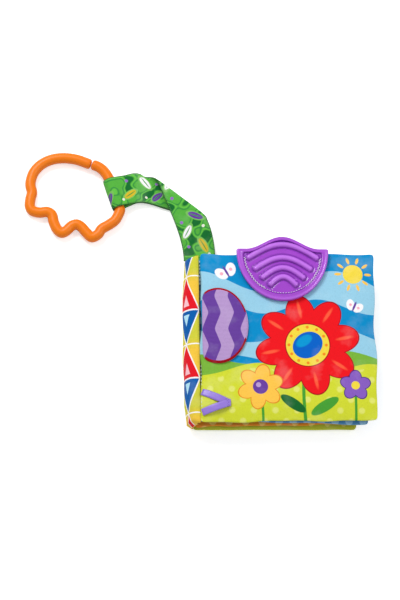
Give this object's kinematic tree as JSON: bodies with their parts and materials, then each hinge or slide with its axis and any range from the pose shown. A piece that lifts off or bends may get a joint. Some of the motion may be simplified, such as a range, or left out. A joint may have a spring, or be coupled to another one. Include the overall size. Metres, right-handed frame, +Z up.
{
  "type": "crinkle cloth book",
  "caption": "Soft padded cloth book with crinkle leaves, a moulded teether, an oval flap, a ribbon loop and a strap that holds an open plastic link.",
  "frame": {"origin": "centre of the back cover's flat underside, which the closed book rests on", "axes": "+X from the spine to the free edges, +Y to the top edge with the strap and the teether, +Z up through the front cover"},
  "size_m": [0.278, 0.2334, 0.0292],
  "materials": {
    "back_print": "printed cloth",
    "back_lining_print": "printed cloth",
    "cover_print": "printed cloth",
    "cover_lining_print": "printed cloth",
    "leaf_1_print": "printed cloth",
    "leaf_2_print": "printed cloth",
    "spine_print": "printed cloth",
    "spine_lining_cloth": "plain cloth",
    "flap_print": "fine ribbed cloth with wavy stripes",
    "strap_print": "printed tape, two greens",
    "ribbon_satin": "satin",
    "wadding": "soft polyester fibre",
    "crinkle_film": "thin clear film",
    "teether_plastic": "soft moulded plastic, glossy",
    "link_plastic": "moulded plastic, glossy"
  },
  "bodies": {
    "back_cover": {"back_cover_outer": "back_print", "back_cover_wadding": "wadding", "back_cover_lining": "back_lining_print"},
    "spine": {"spine_panel": "spine_print", "spine_wadding": "wadding", "spine_lining": "spine_lining_cloth"},
    "front_cover": {"front_cover_outer": "cover_print", "front_cover_wadding": "wadding", "front_cover_lining": "cover_lining_print", "teether": "teether_plastic", "ribbon_tab": "ribbon_satin"},
    "leaf_1": {"leaf_1_front_panel": "leaf_1_print", "leaf_1_crinkle_film": "crinkle_film", "leaf_1_wadding": "wadding", "leaf_1_back_panel": "leaf_1_print"},
    "leaf_2": {"leaf_2_front_panel": "leaf_2_print", "leaf_2_crinkle_film": "crinkle_film", "leaf_2_wadding": "wadding", "leaf_2_back_panel": "leaf_2_print"},
    "flap": {"flap_face": "flap_print", "flap_backing": "flap_print"},
    "strap": {"strap_band": "strap_print"},
    "link": {"link_ring": "link_plastic"}
  },
  "joints": [
    {"name": "spine_fold", "type": "hinge", "parent": "back_cover", "child": "spine", "pos_m": [-0.06695, 0, 0.0035], "axis": [0, -1, 0], "range_deg": [0, 100]},
    {"name": "cover_fold", "type": "hinge", "parent": "spine", "child": "front_cover", "pos_m": [-0.06195, 0, 0.0217], "axis": [0, -1, 0], "range_deg": [0, 70]},
    {"name": "leaf_1_turn", "type": "hinge", "parent": "spine", "child": "leaf_1", "pos_m": [-0.06371, 0, 0.0153], "axis": [0, -1, 0], "range_deg": [0, 13.4]},
    {"name": "leaf_2_turn", "type": "hinge", "parent": "spine", "child": "leaf_2", "pos_m": [-0.06519, 0, 0.0099], "axis": [0, -1, 0], "range_deg": [-43.4, 0]},
    {"name": "flap_lift", "type": "hinge", "parent": "front_cover", "child": "flap", "pos_m": [-0.06, 0.0095, 0.02445], "axis": [0, -1, 0], "range_deg": [0, 95]},
    {"name": "strap_lift", "type": "hinge", "parent": "back_cover", "child": "strap", "pos_m": [-0.06, 0.0743, 0.0035], "axis": [1, 0, 0], "range_deg": [0, 70]},
    {"name": "link_swing", "type": "hinge", "parent": "strap", "child": "link", "pos_m": [-0.1282, 0.1272, 0.00575], "axis": [-0.3107, 0.9505, 0], "range_deg": [0, 90]}
  ],
  "couplings": [
    {"joint": "cover_fold", "follows": "spine_fold", "ratio": 0.7},
    {"joint": "leaf_1_turn", "follows": "spine_fold", "ratio": 0.13333},
    {"joint": "leaf_2_turn", "follows": "spine_fold", "ratio": -0.43333}
  ]
}
